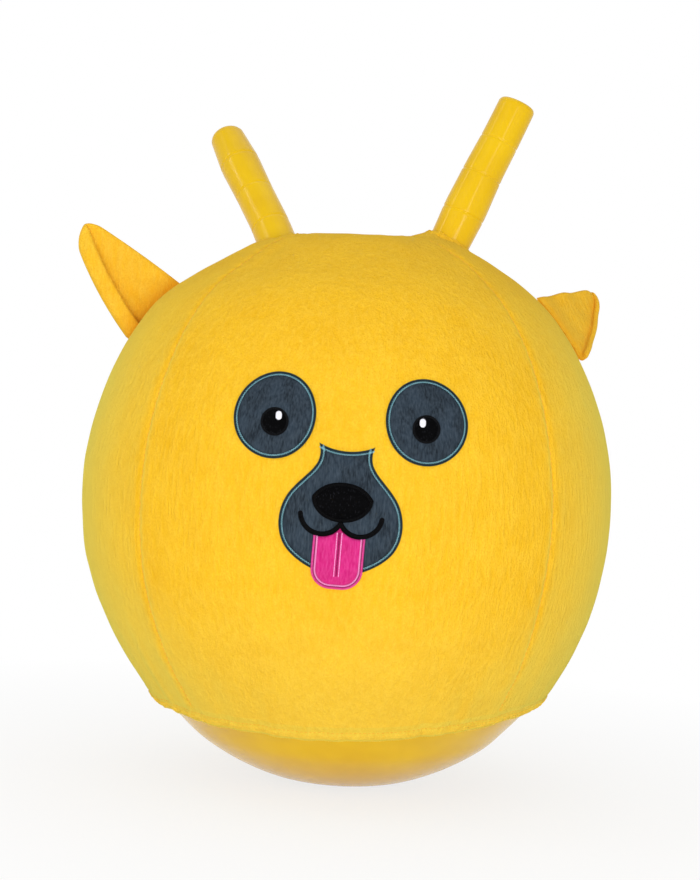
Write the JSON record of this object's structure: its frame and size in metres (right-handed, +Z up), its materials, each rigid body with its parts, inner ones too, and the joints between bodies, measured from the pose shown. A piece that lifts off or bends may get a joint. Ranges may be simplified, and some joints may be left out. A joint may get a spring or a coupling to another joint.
{
  "type": "hopper ball",
  "caption": "Child's hopper ball: hollow ball with two ringed horn handles in a sewn yellow plush cover with a puppy face and floppy ears.",
  "frame": {"origin": "middle of the flat patch on which the ball stands, on the floor under the ball's axis", "axes": "+Z up along the ball's axis, -Y out of the face, -X to the viewer's left"},
  "size_m": [0.4758, 0.4631, 0.61],
  "materials": {
    "moulded_pvc": "gloss",
    "valve_pvc": "satin",
    "plug_plastic": "satin",
    "yellow_plush": "matte",
    "ear_plush": "matte",
    "hem_cloth": "matte",
    "elastic": "matte",
    "slate_felt": "matte",
    "teal_thread": "satin",
    "black_thread": "satin",
    "white_thread": "satin",
    "pink_felt": "matte",
    "pink_thread": "satin"
  },
  "bodies": {
    "ball": {"ball_skin": "moulded_pvc", "valve_sleeve": "valve_pvc", "cover_front": "yellow_plush", "cover_left": "yellow_plush", "cover_right": "yellow_plush", "cover_back": "yellow_plush", "hem_fold": "hem_cloth", "hem_elastic": "elastic", "horn_hole_edge_left": "yellow_plush", "horn_hole_edge_right": "yellow_plush", "eye_patch_left": "slate_felt", "eye_patch_right": "slate_felt", "eye_edging_left": "teal_thread", "eye_edging_right": "teal_thread", "pupil_left": "black_thread", "pupil_right": "black_thread", "catchlight_left": "white_thread", "catchlight_right": "white_thread", "muzzle_patch": "slate_felt", "muzzle_edging": "teal_thread", "nose": "black_thread", "mouth": "black_thread", "tongue": "pink_felt", "tongue_edging": "pink_thread"},
    "ear_left": {"ear_left_front": "ear_plush", "ear_left_back": "ear_plush"},
    "ear_right": {"ear_right_front": "ear_plush", "ear_right_back": "ear_plush"},
    "plug": {"valve_plug": "plug_plastic"}
  },
  "joints": [
    {"name": "ear_left_flop", "type": "hinge", "parent": "ball", "child": "ear_left", "pos_m": [-0.17977, 0, 0.40583], "axis": [-0.6088, 0, -0.7934], "range_deg": [-25, 75], "stiffness_Nm_per_rad": 0.1},
    {"name": "ear_right_flop", "type": "hinge", "parent": "ball", "child": "ear_right", "pos_m": [0.17977, 0, 0.40583], "axis": [-0.6088, 0, 0.7934], "range_deg": [-81, 19], "stiffness_Nm_per_rad": 0.1},
    {"name": "plug_pull", "type": "slide", "parent": "ball", "child": "plug", "axis": [0, 0.5736, -0.8192], "range_m": [0, 0.015]}
  ]
}
